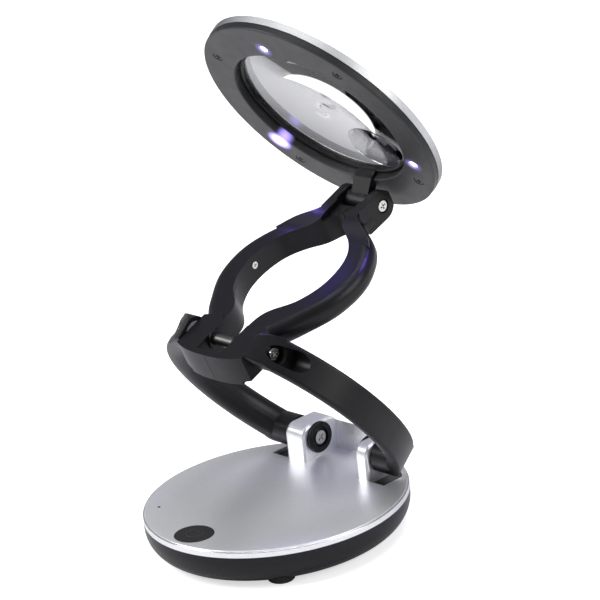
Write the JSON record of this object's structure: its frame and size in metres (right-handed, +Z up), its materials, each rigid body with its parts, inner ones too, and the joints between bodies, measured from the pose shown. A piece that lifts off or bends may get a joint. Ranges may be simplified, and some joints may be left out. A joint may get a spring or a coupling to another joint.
{
  "type": "folding magnifying lamp",
  "caption": "Battery desk magnifier lamp: lit round lens in a hinged head on two arms that fold flat over a weighted oval base.",
  "frame": {"origin": "centre of the oval base in the plane the four rubber feet rest on", "axes": "+Z up, -Y towards the front of the base where the power button is, X along every hinge axis"},
  "size_m": [0.125, 0.1664, 0.2546],
  "materials": {
    "black_plastic": "satin black moulded plastic",
    "dark_plastic": "dark grey satin moulded plastic",
    "silver_plastic": "satin silver painted plastic",
    "rubber": "matt black rubber",
    "steel": "turned steel",
    "bright_screw": "bright plated",
    "black_screw": "black oxide",
    "ballast": "as cast",
    "battery_jacket": "printed-free plain jacket",
    "contact_plating": "nickel plated spring steel",
    "green_board": "solder mask",
    "white_board": "white solder mask",
    "wire_jacket": "insulated wire",
    "lens_clear": "clear polished acrylic",
    "led_clear": "clear epoxy lamp",
    "indicator": "dark lens"
  },
  "bodies": {
    "base": {"base_shell": "black_plastic", "rubber_feet": "rubber", "base_trim_ring": "silver_plastic", "base_top_cover": "silver_plastic", "base_screws": "black_screw", "battery_door": "black_plastic", "battery_door_screw": "black_screw", "batteries": "battery_jacket", "battery_contacts": "contact_plating", "ballast_plate": "ballast", "control_board": "green_board", "tact_switch": "black_screw", "indicator_lens": "indicator"},
    "button": {"power_button": "dark_plastic", "power_symbol": "black_plastic"},
    "lower_arm": {"lower_arm_right": "black_plastic", "lower_arm_left": "black_plastic", "hinge_bush_left": "black_plastic", "hinge_bush_right": "black_plastic", "hinge_screws": "bright_screw", "elbow_shaft": "steel", "elbow_washers": "dark_plastic", "elbow_screws": "bright_screw"},
    "upper_arm": {"upper_arm_right": "black_plastic", "upper_arm_left": "black_plastic", "upper_cover_right": "black_plastic", "upper_cover_left": "black_plastic", "cover_screws": "bright_screw", "arm_wires": "wire_jacket", "head_pin": "steel", "head_hinge_screws": "bright_screw"},
    "head": {"head_ring": "dark_plastic", "head_cover": "silver_plastic", "lens": "lens_clear", "spot_lens": "lens_clear", "lens_retainer": "black_plastic", "lens_clamp_ring": "black_plastic", "led_board": "white_board", "leds": "led_clear", "head_screws": "black_screw", "head_neck": "black_plastic", "neck_screws": "bright_screw"}
  },
  "joints": [
    {"name": "base_hinge", "type": "hinge", "parent": "base", "child": "lower_arm", "pos_m": [0, 0.046, 0.0313], "axis": [1, 0, 0], "range_deg": [-15, 48.75]},
    {"name": "elbow_hinge", "type": "hinge", "parent": "lower_arm", "child": "upper_arm", "pos_m": [0, -0.0202, 0.10678], "axis": [1, 0, 0], "range_deg": [-71, 21.9]},
    {"name": "head_hinge", "type": "hinge", "parent": "upper_arm", "child": "head", "pos_m": [0, 0.07859, 0.1471], "axis": [1, 0, 0], "range_deg": [-3, 75.8]},
    {"name": "power_button", "type": "slide", "parent": "base", "child": "button", "axis": [0, 0, -1], "range_m": [0, 0.0008]}
  ],
  "couplings": [
    {"joint": "elbow_hinge", "follows": "base_hinge", "ratio": -1.4554}
  ]
}
